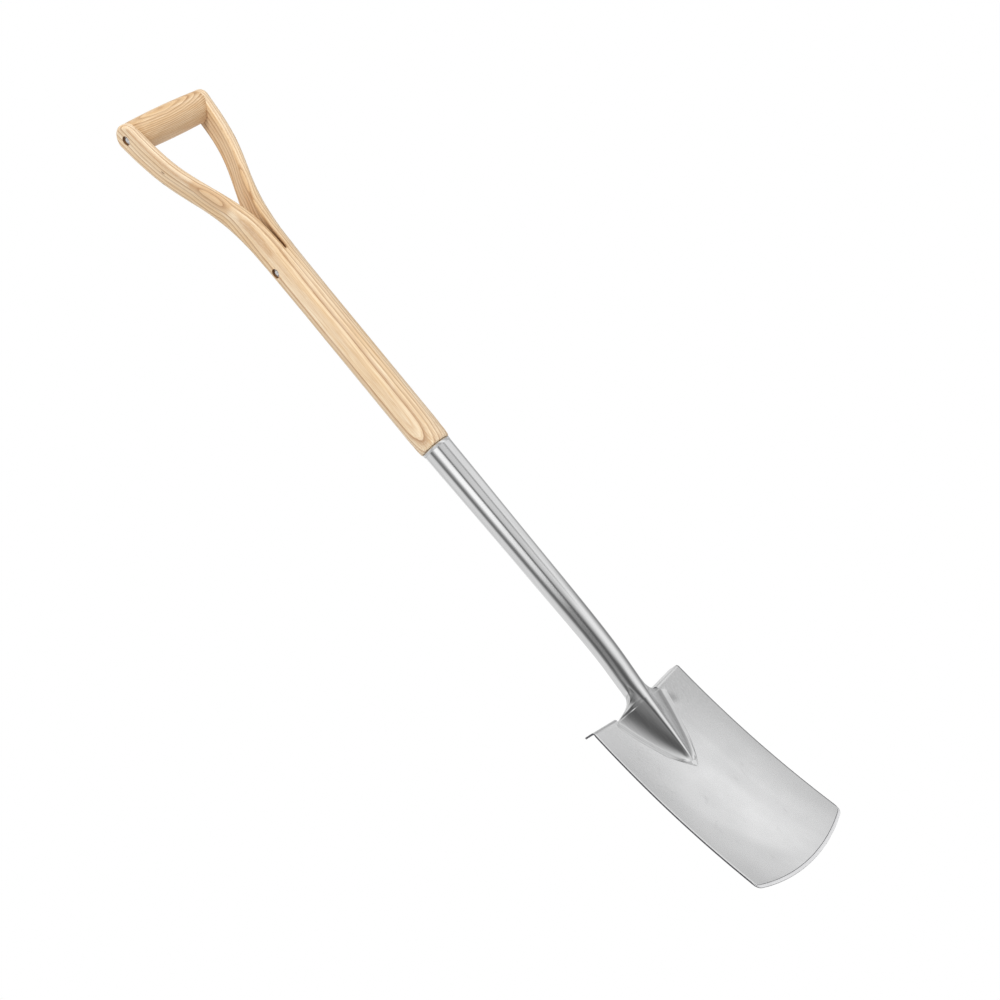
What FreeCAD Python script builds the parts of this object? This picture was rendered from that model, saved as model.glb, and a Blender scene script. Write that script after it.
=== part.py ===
import FreeCAD, Part
import os
import math
from FreeCAD import Vector, Rotation, Placement

# Garden spade, standing upright: +Z runs up the shaft, the dished front of the
# blade faces -Y and X is across the blade. Millimetres.

doc = FreeCAD.newDocument("garden_spade")
sheet = doc.addObject("Spreadsheet::Sheet", "dims")

DIMS = [
    # whole tool: moves the modelling axis so that the lowest point of the
    # cutting edge is at z = 0 and the depth is centred on y = 0
    ("lift_up", 5.2), ("lift_back", 7.745),
    # blade sheet: swept about a cross axis in front of the blade
    ("sheet_thick", 2.0), ("sweep_rad", 850.0), ("axis_back", -828.5), ("axis_up", 327.1),
    ("dish_rad", 330.4), ("sweep_start", 5.0), ("sweep_turn", 20.0),
    ("blade_half_top", 68.5), ("blade_half_low", 70.4), ("blade_top", 223.0), ("tread_rise", 3.6),
    ("corner_up", 11.5), ("edge_low", -5.2), ("corner_rad", 8.0),
    # folded treads
    ("tread_deep", 18.5), ("fold_rad", 4.0), ("tread_gap", 33.0),
    # socket
    ("rim_up", 564.0), ("rim_rad", 16.9), ("wall", 1.5), ("tube_low", 255.0), ("tongue_top", 221.8),
    # ash shaft
    ("shaft_rad", 18.85), ("insert_end", 350.0), ("split_up", 826.0), ("round_end", 770.0),
    # D handle
    ("grip_up", 1021.0), ("grip_back", 4.3), ("grip_mid_rad", 18.2), ("grip_end_rad", 16.9),
    ("arm_end_rad", 17.0),
    # rivets
    ("split_rivet_up", 812.5), ("pin_rad", 2.5), ("bore_rad", 5.2), ("burr_rad", 4.6),
    ("burr_thick", 0.9), ("head_rad", 4.6),
    ("screw_up", 536.0),
]
for row, (alias, value) in enumerate(DIMS, start=1):
    sheet.set("A%d" % row, alias)
    sheet.set("B%d" % row, str(value))
    sheet.setAlias("B%d" % row, alias)
doc.recompute()
D = {alias: float(sheet.get(alias)) for alias, _ in DIMS}


def plane(body, role):
    for f in body.Origin.OriginFeatures:
        if f.Role == role:
            return f
    raise RuntimeError(role)


def new_body(label):
    b = doc.addObject("PartDesign::Body", label)
    b.Label = label
    b.setExpression("Placement.Base.y", "dims.lift_back")
    b.setExpression("Placement.Base.z", "dims.lift_up")
    return b


def sketch(body, name, role, offset=None):
    s = body.newObject("Sketcher::SketchObject", name)
    s.AttachmentSupport = [(plane(body, role), "")]
    s.MapMode = "FlatFace"
    if offset is not None:
        s.AttachmentOffset = offset
    return s


def seg(a, b):
    return Part.LineSegment(Vector(a[0], a[1], 0), Vector(b[0], b[1], 0))


def arc3(a, b, c):
    return Part.Arc(Vector(a[0], a[1], 0), Vector(b[0], b[1], 0), Vector(c[0], c[1], 0))


def add_all(s, geo):
    for g in geo:
        s.addGeometry(g, False)


def circle(s, x, y, r, expr=None):
    i = s.addGeometry(Part.Circle(Vector(x, y, 0), Vector(0, 0, 1), r), False)
    if expr:
        import Sketcher
        c = s.addConstraint(Sketcher.Constraint("Radius", i, r))
        s.setExpression("Constraints[%d]" % c, expr)
    return i


def pol(cx, cy, r, deg):
    t = math.radians(deg)
    return (cx + r * math.cos(t), cy + r * math.sin(t))


def rounded(x0, x1, hd, r0, r1, yc):
    """Closed section: inner side at x0 (corner r0), outer side at x1 (corner r1), half depth hd."""
    q = math.sqrt(0.5)
    lo, hi = yc - hd, yc + hd
    g = [seg((x0 + r0, lo), (x1 - r1, lo)),
         arc3((x1 - r1, lo), (x1 - r1 + r1 * q, lo + r1 - r1 * q), (x1, lo + r1)),
         seg((x1, lo + r1), (x1, hi - r1)),
         arc3((x1, hi - r1), (x1 - r1 + r1 * q, hi - r1 + r1 * q), (x1 - r1, hi)),
         seg((x1 - r1, hi), (x0 + r0, hi)),
         arc3((x0 + r0, hi), (x0 + r0 - r0 * q, hi - r0 + r0 * q), (x0, hi - r0)),
         seg((x0, hi - r0), (x0, lo + r0)),
         arc3((x0, lo + r0), (x0 + r0 - r0 * q, lo + r0 - r0 * q), (x0 + r0, lo))]
    return g


def loft(body, name, sketches, kind="PartDesign::AdditiveLoft", ruled=False):
    f = body.newObject(kind, name)
    f.Profile = sketches[0]
    f.Sections = sketches[1:]
    f.Ruled = ruled
    f.Closed = False
    for s in sketches:
        s.Visibility = False
    return f


def pocket(body, name, sk, want_less=True, midplane=False, reverse=False, length=None, expr=None):
    before = body.Tip.Shape.Volume
    f = body.newObject("PartDesign::Pocket", name)
    f.Profile = sk
    if length is None:
        f.Type = 1
    else:
        f.Length = length
        if expr:
            f.setExpression("Length", expr)
    f.Midplane = midplane
    f.Reversed = reverse
    doc.recompute()
    if not (f.Shape.Volume < before - 0.5):
        f.Reversed = not reverse
        doc.recompute()
    if not (f.Shape.Volume < before - 0.5):
        raise RuntimeError("pocket %s cuts nothing" % name)
    return f


# ---------------------------------------------------------------- blade
# front surface of the blade at (x, z)
def surf(x, z):
    th = math.asin((D["axis_up"] - z) / D["sweep_rad"])
    yc = D["axis_back"] + D["sweep_rad"] * math.cos(th)
    return yc - (D["dish_rad"] - math.sqrt(D["dish_rad"] ** 2 - x * x))


blade = new_body("blade")
# cross-section of the dished sheet, in a plane through the sweep axis
sk = sketch(blade, "dish_section", "XY_Plane",
            Placement(Vector(0, D["axis_back"], D["axis_up"]), Rotation(Vector(1, 0, 0), -D["sweep_start"])))
sk.setExpression("AttachmentOffset.Base.y", "dims.axis_back")
sk.setExpression("AttachmentOffset.Base.z", "dims.axis_up")
hw = 78.0
cr = D["sweep_rad"] - D["dish_rad"]
a = math.asin(hw / D["dish_rad"])
ro = D["dish_rad"] + D["sheet_thick"]


def on(r, t):
    return (r * math.sin(t), cr + r * math.cos(t))


add_all(sk, [arc3(on(D["dish_rad"], -a), on(D["dish_rad"], 0), on(D["dish_rad"], a)),
             seg(on(D["dish_rad"], a), on(ro, a)),
             arc3(on(ro, a), on(ro, 0), on(ro, -a)),
             seg(on(ro, -a), on(D["dish_rad"], -a))])
rev = blade.newObject("PartDesign::Revolution", "dished_sheet")
rev.Profile = sk
rev.ReferenceAxis = (sk, ["H_Axis"])
rev.Angle = D["sweep_turn"]
rev.setExpression("Angle", "dims.sweep_turn")
doc.recompute()
if rev.Shape.BoundBox.ZMin > 200:
    rev.Reversed = True
    doc.recompute()

# outline: parallel sides, bowed cutting edge, small corner radii
ol = sketch(blade, "outline", "XZ_Plane")
wt, wl = D["blade_half_top"], D["blade_half_low"]
zt, zc, zb = D["blade_top"], D["corner_up"], D["edge_low"]
big = 120.0
# bowed edge: circle through (wl, zc), (0, zb), (-wl, zc)
sag = zc - zb
rb = (wl * wl + sag * sag) / (2 * sag)
cz = zb + rb
rc = D["corner_rad"]
# corner fillet between the side line and the bowed edge, by direct geometry
dx, dz = wt - wl, zt - zc
ln = math.hypot(dx, dz)
ux, uz = dx / ln, dz / ln           # up the right-hand side
nx, nz = -uz, ux                    # inward normal
# centre of the corner arc: rc inside the side line and rb - rc from the edge's centre
lo_s, hi_s = 0.0, 60.0
for _ in range(80):
    mid = (lo_s + hi_s) / 2
    px_, pz_ = wl + ux * mid + nx * rc, zc + uz * mid + nz * rc
    if math.hypot(px_, pz_ - cz) > rb - rc:
        lo_s = mid
    else:
        hi_s = mid
ccx, ccz = px_, pz_
t_side = (ccx - nx * rc, ccz - nz * rc)
d_ = math.hypot(ccx, ccz - cz)
t_edge = (ccx * rb / d_, cz + (ccz - cz) * rb / d_)
ma = (t_side[0] - ccx + t_edge[0] - ccx, t_side[1] - ccz + t_edge[1] - ccz)
ml = math.hypot(*ma)
t_mid = (ccx + ma[0] / ml * rc, ccz + ma[1] / ml * rc)
zhi = 262.0
kx = wt + ux / uz * (zhi - zt)
add_all(ol, [seg((-big, -60), (big, -60)), seg((big, -60), (big, zhi)),
             seg((big, zhi), (-big, zhi)), seg((-big, zhi), (-big, -60))])
add_all(ol, [seg((kx, zhi - 0.5), t_side), arc3(t_side, t_mid, t_edge),
             arc3(t_edge, (0, zb), (-t_edge[0], t_edge[1])),
             arc3((-t_edge[0], t_edge[1]), (-t_mid[0], t_mid[1]), (-t_side[0], t_side[1])),
             seg((-t_side[0], t_side[1]), (-kx, zhi - 0.5)),
             seg((-kx, zhi - 0.5), (kx, zhi - 0.5))])
pocket(blade, "trim_outline", ol, midplane=True)
# top edge: level behind the socket, rising a little towards the corners
g_ = D["tread_gap"]
rise_x = D["tread_rise"] / (wt - g_)
def top_z(x):
    return zt + rise_x * (abs(x) - g_)


top = sketch(blade, "top_trim", "XZ_Plane")
add_all(top, [seg((-g_, zt), (g_, zt)), seg((g_, zt), (big, top_z(big))), seg((big, top_z(big)), (big, 300)),
              seg((big, 300), (-big, 300)), seg((-big, 300), (-big, top_z(big))), seg((-big, top_z(big)), (-g_, zt))])
pocket(blade, "trim_top", top, midplane=True)

# treads: the top of the sheet folded back square, following the dish
t_, fr = D["sheet_thick"], D["fold_rad"]


def hook(x):
    """Side profile of the fold at x: front of the sheet, bend, flange and back again."""
    z0 = top_z(x)
    y0 = surf(x, z0)
    sl = math.tan(math.asin((D["axis_up"] - z0) / D["sweep_rad"]))
    ang = math.radians(4.0)
    cy, cz_ = y0 + fr, z0
    L = D["tread_deep"] - fr
    o1, i1 = (y0, z0), (y0 + t_, z0)
    def at(r, a_):
        return (cy - r * math.sin(a_), cz_ + r * math.cos(a_))
    o2, o3 = at(fr, math.radians(45)), at(fr, ang)
    i2, i3 = at(fr - t_, math.radians(45)), at(fr - t_, ang)
    o4 = (o3[0] + L, o3[1] + L * math.tan(ang))
    i4 = (i3[0] + L, i3[1] + L * math.tan(ang))
    p0, q0 = (y0 - sl * 1.5, z0 - 1.5), (y0 + t_ - sl * 1.5, z0 - 1.5)
    return [seg(p0, o1), arc3(o1, o2, o3), seg(o3, o4), seg(o4, i4), seg(i4, i3),
            arc3(i3, i2, i1), seg(i1, q0), seg(q0, p0)]


hsk = []
for i, x in enumerate((g_, g_ + (wt - g_) * 0.5, wt - 0.15)):
    s = sketch(blade, "fold_section_%d" % i, "YZ_Plane", Placement(Vector(0, 0, x), Rotation()))
    add_all(s, hook(x))
    hsk.append(s)
hsk[0].setExpression("AttachmentOffset.Base.z", "dims.tread_gap")
fold = loft(blade, "folded_tread", hsk)
doc.recompute()
fold_b = blade.newObject("PartDesign::Mirrored", "other_tread")
fold_b.Originals = [fold]
fold_b.MirrorPlane = (plane(blade, "YZ_Plane"), [""])
blade.Tip = fold_b
doc.recompute()

# ---------------------------------------------------------------- socket
# (z, centre y, radius) of the tapered tube, rim first
TUBE = [(D["rim_up"], 0.0, D["rim_rad"]), (500.0, -1.05, 16.1), (440.0, -2.0, 15.2),
        (380.0, -2.95, 14.4), (330.0, -3.6, 13.65), (300.0, -3.3, 13.2), (275.0, -1.9, 12.85),
        (D["tube_low"], 0.4, 12.65)]


def tube_section(body, name, z, yc, r):
    s = sketch(body, name, "XY_Plane", Placement(Vector(0, 0, z), Rotation()))
    circle(s, 0, yc, r)
    return s


def tongue(z, crest, rc_, phi, wx, wy, bulge, back):
    """Section of the flattened end: rounded crest, hollow sides, back against the blade."""
    cy = crest + rc_
    t = math.radians(phi)
    cr_ = (rc_ * math.sin(t), cy - rc_ * math.cos(t))
    cl_ = (-cr_[0], cr_[1])
    w, v = (wx, wy), (-wx, wy)
    ex, ey = w[0] - cr_[0], w[1] - cr_[1]
    el = math.hypot(ex, ey)
    m = ((cr_[0] + w[0]) / 2 + bulge * ey / el, (cr_[1] + w[1]) / 2 - bulge * ex / el)
    g = [arc3(cl_, (0, crest), cr_), arc3(cr_, m, w), arc3(w, (0, back), v),
         arc3(v, (-m[0], m[1]), cl_)]
    return g


def round_as_tongue(z, yc, r):
    t = math.radians(130)
    wx, wy = r * math.sin(t), yc - r * math.cos(t)
    a0, a1 = math.radians(50), math.radians(130)
    c0 = (r * math.sin(a0), yc - r * math.cos(a0))
    el = math.hypot(wx - c0[0], wy - c0[1])
    bulge = r - math.sqrt(r * r - el * el / 4)
    return (z, yc - r, r, 50.0, wx, wy, bulge, yc + r)


# neck: the tube turning from round to ridged as it comes down onto the blade
NECK = [
    round_as_tongue(D["tube_low"], 0.4, 12.65),
    round_as_tongue(246.0, 1.9, 12.5),
    round_as_tongue(237.0, 3.0, 12.3),
    (229.0, -9.2, 10.6, 50.0, 12.2, 10.0, 1.4, 15.6),
    (218.0, -8.8, 8.4, 46.0, 13.8, 11.2, 0.4, 14.8),
]
# tongue: V-shaped, hollow-sided, tapering to a point on the blade
TOP = D["tongue_top"]
TONGUE = [
    (TOP, -9.0, 8.2, 45.0, 34.0, surf(34.0, TOP) + 0.6, -3.0, surf(0, TOP) + 0.8),
    (212.0, -8.1, 7.2, 45.0, 32.0, surf(32.0, 212) + 0.6, -2.7, surf(0, 212) + 0.8),
    (199.0, -6.8, 6.1, 45.0, 28.0, surf(28.0, 199) + 0.6, -2.2, surf(0, 199) + 0.8),
    (182.0, -5.1, 4.9, 45.0, 21.8, surf(21.8, 182) + 0.6, -1.6, surf(0, 182) + 0.8),
    (165.0, -2.9, 3.7, 45.0, 15.2, surf(15.2, 165) + 0.6, -0.9, surf(0, 165) + 0.8),
    (150.0, -0.4, 2.3, 45.0, 8.4, surf(8.4, 150) + 0.5, -0.5, surf(0, 150) + 0.7),
    (139.5, surf(0, 139.5) - 0.9, 0.9, 45.0, 2.2, surf(2.2, 139.5) + 0.4, -0.1, surf(0, 139.5) + 0.6),
]


def sections(body, stem, rows):
    out = []
    for i, row in enumerate(rows):
        s = sketch(body, "%s_%02d" % (stem, i), "XY_Plane", Placement(Vector(0, 0, row[0]), Rotation()))
        add_all(s, tongue(*row))
        out.append(s)
    return out


sock = new_body("socket_blank")
ton_sk = sections(sock, "tongue", TONGUE)
ton_sk[0].setExpression("AttachmentOffset.Base.z", "dims.tongue_top")
loft(sock, "tongue", ton_sk)
doc.recompute()
loft(sock, "neck_of_tube", sections(sock, "neck_section", NECK))
doc.recompute()
# soft corner where the neck lands on the shoulders of the tongue
for rad in (7.0, 6.0, 5.0, 4.0, 3.0):
    base = sock.Tip
    names = []
    for i, e in enumerate(base.Shape.Edges, start=1):
        bb = e.BoundBox
        if bb.ZMax - bb.ZMin < 0.3 and abs(bb.Center.z - TOP) < 0.3 and 6.0 < abs(bb.Center.x) < 16.0 and bb.YMin > -5.0 and bb.XMax - bb.XMin < 14.0:
            names.append("Edge%d" % i)
    if not names:
        break
    f = sock.newObject("PartDesign::Fillet", "neck_fillet")
    f.Base = (base, names)
    f.Radius = rad
    doc.recompute()
    if "Invalid" in f.State or f.Shape.isNull() or not f.Shape.isValid() or f.Shape.Volume < base.Shape.Volume:
        sock.removeObject(f)
        doc.removeObject(f.Name)
        sock.Tip = base
        doc.recompute()
        continue
    print("neck fillet", rad, names)
    break
tube_sk = [tube_section(sock, "tube_%02d" % i, *s) for i, s in enumerate(TUBE)]
tube_sk[0].setExpression("AttachmentOffset.Base.z", "dims.rim_up")
tube_sk[-1].setExpression("AttachmentOffset.Base.z", "dims.tube_low")
loft(sock, "tapered_tube", tube_sk)
doc.recompute()
w_ = D["wall"]
in_sk = [tube_section(sock, "bore_%02d" % i, z, yc, r - w_) for i, (z, yc, r) in enumerate(TUBE)]
in_sk[0].setExpression("AttachmentOffset.Base.z", "dims.rim_up")
loft(sock, "tube_bore", in_sk, "PartDesign::SubtractiveLoft")
doc.recompute()
neck_in = [round_as_tongue(D["tube_low"], 0.4, 12.65 - w_), round_as_tongue(246.0, 1.9, 12.5 - w_), round_as_tongue(237.0, 3.0, 12.3 - w_)]
for z, crest, rc_, phi, wx, wy, bulge, back in NECK[3:]:
    neck_in.append((z if z > 220 else 214.0, crest + w_ * 1.1, rc_ - w_, phi, wx - w_ * 1.1, wy - 0.4, bulge * 0.9, back - w_))
loft(sock, "neck_hollow", sections(sock, "neck_hollow_section", neck_in), "PartDesign::SubtractiveLoft", ruled=True)
doc.recompute()
ton_in = []
for z, crest, rc_, phi, wx, wy, bulge, back in TONGUE[:-1]:
    k = min(0.9, max(0.25, (wx - 3.6) / wx))
    ton_in.append((z if z < TOP else TOP - 1.8, crest + w_ * 1.2, max(0.5, rc_ - w_), phi, wx * k, wy + 0.4, bulge * 0.9, back + 0.3))
loft(sock, "tongue_hollow", sections(sock, "tongue_hollow_section", ton_in), "PartDesign::SubtractiveLoft", ruled=True)
doc.recompute()

# ---------------------------------------------------------------- shaft
shaft = new_body("shaft")
su, rr = D["rim_up"], D["shaft_rad"]
prof = sketch(shaft, "shaft_profile", "XZ_Plane")
shoulder = [Vector(16.7, su + 0.4, 0), Vector(17.5, su + 1.2, 0), Vector(18.2, su + 4.0, 0),
            Vector(18.6, su + 9.0, 0), Vector(rr, su + 20.0, 0)]
bs = Part.BSplineCurve()
bs.interpolate(shoulder)
prof.addGeometry(seg((0, su + 0.4), (16.7, su + 0.4)), False)
prof.addGeometry(bs, False)
add_all(prof, [seg((rr, su + 20.0), (rr, D["round_end"])), seg((rr, D["round_end"]), (0, D["round_end"])),
               seg((0, D["round_end"]), (0, su + 0.4))])
turned = shaft.newObject("PartDesign::Revolution", "turned_shaft")
turned.Profile = prof
turned.ReferenceAxis = (prof, ["V_Axis"])
turned.Angle = 360
doc.recompute()


def tube_at(z):
    for (z1, y1, r1), (z0, y0, r0) in zip(TUBE, TUBE[1:]):
        if z0 <= z <= z1:
            f = (z - z0) / (z1 - z0)
            return y0 + f * (y1 - y0), r0 + f * (r1 - r0)


# tapered end inside the socket: follows the bore, a hair smaller
ins_rows = [(su + 0.6, 0.0, D["rim_rad"] - w_ - 0.05)]
for z in (500.0, 440.0, 380.0):
    yc, r = tube_at(z)
    ins_rows.append((z, yc, r - w_ - 0.05))
yc, r = tube_at(D["insert_end"])
ins_rows.append((D["insert_end"], yc, r - w_ - 0.12))
isk = [tube_section(shaft, "insert_%d" % i, *row) for i, row in enumerate(ins_rows)]
loft(shaft, "tapered_insert", isk)
doc.recompute()

# round section easing into the squarer neck under the split
ROUND = [(D["round_end"], rr, rr - 0.15), (790.0, rr, rr - 0.4), (810.0, rr, rr - 0.8), (D["split_up"], rr, rr - 1.25)]
nsk = []
for i, (z, half, rad) in enumerate(ROUND):
    s = sketch(shaft, "neck_%d" % i, "XY_Plane", Placement(Vector(0, 0, z), Rotation()))
    add_all(s, rounded(-half, half, half, rad, rad, 0.0))
    nsk.append(s)
loft(shaft, "neck", nsk)
doc.recompute()
# one bent arm: (z, inner x, outer x, outer corner, inner corner, half depth, centre y)
ARM = [
    (826.0, 0.8, 18.85, 17.6, 0.4, 18.85, 0.0),
    (845.0, 1.3, 18.9, 15.9, 0.6, 18.5, 0.0),
    (860.0, 2.2, 19.3, 13.8, 1.0, 18.1, 0.0),
    (875.0, 4.3, 20.5, 11.6, 1.6, 17.7, 0.0),
    (890.0, 7.9, 22.9, 9.7, 2.4, 17.1, 0.1),
    (905.0, 12.9, 26.7, 8.2, 3.3, 16.6, 0.3),
    (920.0, 18.8, 31.8, 7.0, 3.9, 16.1, 0.7),
    (935.0, 25.0, 37.8, 6.3, 4.2, 15.8, 1.3),
    (950.0, 30.8, 43.4, 5.9, 4.4, 15.6, 1.9),
    (965.0, 35.6, 48.1, 5.7, 4.4, 15.6, 2.5),
    (980.0, 39.1, 51.4, 5.5, 4.4, 15.8, 3.0),
    (995.0, 41.5, 53.8, 5.4, 4.4, 16.2, 3.5),
    (1010.0, 43.2, 55.4, 5.4, 4.4, 16.7, 4.0),
    (1024.0, 44.4, 56.5, 5.4, 4.4, 17.3, 4.3),
    (1040.0, 45.5, 57.4, 5.4, 4.4, 17.6, 4.4),
]
ask = []
for i, (z, x0, x1, r1, r0, hd, yc) in enumerate(ARM):
    s = sketch(shaft, "arm_%02d" % i, "XY_Plane", Placement(Vector(0, 0, z), Rotation()))
    add_all(s, rounded(x0, x1, hd, r0, r1, yc))
    ask.append(s)
arm = loft(shaft, "bent_arm", ask)
doc.recompute()
mir = shaft.newObject("PartDesign::Mirrored", "other_arm")
mir.Originals = [arm]
mir.MirrorPlane = (plane(shaft, "YZ_Plane"), [""])
shaft.Tip = mir
doc.recompute()

# arm ends rounded about the grip
gu, gb, ar = D["grip_up"], D["grip_back"], D["arm_end_rad"]
en = sketch(shaft, "arm_end_outline", "YZ_Plane")
add_all(en, [seg((gb - ar, gu), (gb - ar - 6, gu)), seg((gb - ar - 6, gu), (gb - ar - 6, gu + 40)),
             seg((gb - ar - 6, gu + 40), (gb + ar + 6, gu + 40)), seg((gb + ar + 6, gu + 40), (gb + ar + 6, gu)),
             seg((gb + ar + 6, gu), (gb + ar, gu)), arc3((gb + ar, gu), (gb, gu + ar), (gb - ar, gu))])
pocket(shaft, "round_arm_ends", en, midplane=True)
# eased edges round the two arm ends
for rad in (5.0, 4.0, 3.0, 2.0):
    base = shaft.Tip
    names = []
    for i, e in enumerate(base.Shape.Edges, start=1):
        p = e.discretize(9)
        if all(abs(math.hypot(q.y - gb, q.z - gu) - ar) < 0.05 for q in p) and abs(p[4].x) > 51 and p[4].z > gu:
            names.append("Edge%d" % i)
    f = shaft.newObject("PartDesign::Fillet", "arm_end_fillet")
    f.Base = (base, names)
    f.Radius = rad
    doc.recompute()
    if "Invalid" in f.State or f.Shape.isNull() or not f.Shape.isValid() or not (0 < base.Shape.Volume - f.Shape.Volume < 9000):
        shaft.removeObject(f)
        doc.removeObject(f.Name)
        shaft.Tip = base
        doc.recompute()
        continue
    print("arm end fillet", rad, names)
    break


# rivet holes and their counterbores
def side_hole(body, name, y, z, r, x_from=None, sign=1):
    if x_from is None:
        s = sketch(body, name + "_outline", "YZ_Plane")
        circle(s, y, z, r)
        return pocket(body, name, s, midplane=True)
    s = sketch(body, name + "_outline", "YZ_Plane", Placement(Vector(0, 0, x_from), Rotation()))
    circle(s, y, z, r)
    before = body.Tip.Shape.Volume
    f = body.newObject("PartDesign::Pocket", name)
    f.Profile = s
    f.Length = 12.0
    f.Reversed = sign > 0
    doc.recompute()
    cut = before - f.Shape.Volume
    if not (1.0 < cut < 1500.0):
        raise RuntimeError("%s removed %.1f" % (name, cut))
    return f


RIV_X = 53.6                        # seat of the washers and heads at the arm ends
SPL_X = 15.8                        # seat of the washer and head of the split rivet
side_hole(shaft, "grip_rivet_hole", gb, gu, D["pin_rad"])
side_hole(shaft, "grip_bore_right", gb, gu, D["bore_rad"], RIV_X, 1)
side_hole(shaft, "grip_bore_left", gb, gu, D["bore_rad"], -RIV_X, -1)
side_hole(shaft, "split_rivet_hole", 0.0, D["split_rivet_up"], D["pin_rad"])
side_hole(shaft, "split_bore_right", 0.0, D["split_rivet_up"], D["bore_rad"], SPL_X, 1)
side_hole(shaft, "split_bore_left", 0.0, D["split_rivet_up"], D["bore_rad"], -SPL_X, -1)

# ---------------------------------------------------------------- grip
gbody = new_body("grip_blank")
gs = sketch(gbody, "grip_profile", "XY_Plane", Placement(Vector(0, D["grip_back"], D["grip_up"]), Rotation()))
gs.setExpression("AttachmentOffset.Base.y", "dims.grip_back")
gs.setExpression("AttachmentOffset.Base.z", "dims.grip_up")
gm, ge, gl = D["grip_mid_rad"], D["grip_end_rad"], 50.0
add_all(gs, [arc3((-gl, ge), (0, gm), (gl, ge)), seg((gl, ge), (gl, D["pin_rad"])),
             seg((gl, D["pin_rad"]), (-gl, D["pin_rad"])), seg((-gl, D["pin_rad"]), (-gl, ge))])
gr = gbody.newObject("PartDesign::Revolution", "turned_grip")
gr.Profile = gs
gr.ReferenceAxis = (gs, ["H_Axis"])
gr.Angle = 360
doc.recompute()
grip = doc.addObject("Part::Cut", "grip")
grip.Label = "grip"
grip.Base = gbody
grip.Tool = shaft

socket = doc.addObject("Part::Cut", "socket_cut")
socket.Base = sock
socket.Tool = blade


# ---------------------------------------------------------------- rivets
def rivet(label, y, z, seat, yexp, zexp):
    """Rivet along X: domed head at +X, shank closed over a washer at -X."""
    b = new_body(label)
    s = sketch(b, label + "_profile", "XY_Plane", Placement(Vector(0, y, z), Rotation()))
    if yexp:
        s.setExpression("AttachmentOffset.Base.y", yexp)
    s.setExpression("AttachmentOffset.Base.z", zexp)
    p, hr, bt = D["pin_rad"], D["head_rad"], D["burr_thick"]
    e = -(seat + bt)                # outer face of the washer
    g = [seg((e - 0.3, 0), (seat + 1.6, 0)), seg((seat + 1.6, 0), (seat + 1.6, 1.6)),
         arc3((seat + 1.6, 1.6), (seat + 1.3, 3.3), (seat + 0.4, hr)),
         seg((seat + 0.4, hr), (seat, hr)), seg((seat, hr), (seat, p)), seg((seat, p), (e, p)),
         seg((e, p), (e, p + 0.8)), arc3((e, p + 0.8), (e - 0.6, 2.55), (e - 0.8, 1.5)),
         seg((e - 0.8, 1.5), (e - 0.3, 0))]
    add_all(s, g)
    f = b.newObject("PartDesign::Revolution", label + "_turned")
    f.Profile = s
    f.ReferenceAxis = (s, ["H_Axis"])
    f.Angle = 360
    doc.recompute()
    return b


grip_rivet = rivet("grip_rivet", gb, gu, RIV_X, "dims.grip_back", "dims.grip_up")
split_rivet = rivet("split_rivet", 0.0, D["split_rivet_up"], SPL_X, None, "dims.split_rivet_up")


# two identical washers under the closed ends
def burr(name, y, z, seat):
    ring = doc.addObject("Part::Cylinder", name + "_disc")
    ring.setExpression("Radius", "dims.burr_rad")
    ring.setExpression("Height", "dims.burr_thick")
    hole = doc.addObject("Part::Cylinder", name + "_hole")
    hole.setExpression("Radius", "dims.pin_rad")
    hole.setExpression("Height", "dims.burr_thick")
    for o in (ring, hole):
        o.Placement = Placement(Vector(-seat, y + D["lift_back"], z + D["lift_up"]), Rotation(Vector(0, 1, 0), -90))
    c = doc.addObject("Part::Cut", name)
    c.Base = ring
    c.Tool = hole
    return c


b1 = burr("burr_grip", gb, gu, RIV_X)
b2 = burr("burr_split", 0.0, D["split_rivet_up"], SPL_X)
burrs = doc.addObject("Part::Compound", "rivet_burrs")
burrs.Label = "rivet_burrs"
burrs.Links = [b1, b2]

# ---------------------------------------------------------------- socket screw
# raised countersunk screw through the back of the socket into the wood
scz = D["screw_up"]
scy, scr = tube_at(scz)
tip_y = scy + scr - 20.0
wall_y = scy + scr


def screw_body(name):
    b = new_body(name)
    ss = sketch(b, name + "_profile", "XY_Plane", Placement(Vector(0, 0, scz), Rotation()))
    ss.setExpression("AttachmentOffset.Base.z", "dims.screw_up")
    add_all(ss, [seg((0, tip_y), (0.5, tip_y)), seg((0.5, tip_y), (1.7, tip_y + 4.0)),
                 seg((1.7, tip_y + 4.0), (1.7, wall_y - 2.6)),
                 seg((1.7, wall_y - 2.6), (3.6, wall_y - 0.75)), seg((3.6, wall_y - 0.75), (3.6, wall_y + 0.3)),
                 seg((3.6, wall_y + 0.3), (2.7, wall_y + 0.6)), seg((2.7, wall_y + 0.6), (0, wall_y + 0.6)),
                 seg((0, wall_y + 0.6), (0, tip_y))])
    sr = b.newObject("PartDesign::Revolution", name + "_turned")
    sr.Profile = ss
    sr.ReferenceAxis = (ss, ["V_Axis"])
    sr.Angle = 360
    doc.recompute()
    return b


screw_room = screw_body("screw_room")
screw = screw_body("socket_screw")
slot = sketch(screw, "slot_outline", "XZ_Plane", Placement(Vector(0, 0, -wall_y - 2.0), Rotation()))
add_all(slot, [seg((-5, scz - 0.5), (5, scz - 0.5)), seg((5, scz - 0.5), (5, scz + 0.5)),
               seg((5, scz + 0.5), (-5, scz + 0.5)), seg((-5, scz + 0.5), (-5, scz - 0.5))])
v0 = screw.Tip.Shape.Volume
sp = screw.newObject("PartDesign::Pocket", "drive_slot")
sp.Profile = slot
sp.Length = 2.5
doc.recompute()
if not (sp.Shape.Volume < v0 - 0.5):
    sp.Reversed = True
    doc.recompute()
if not (0.5 < v0 - sp.Shape.Volume < 30):
    raise RuntimeError("slot volume %.2f" % (v0 - sp.Shape.Volume))

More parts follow.
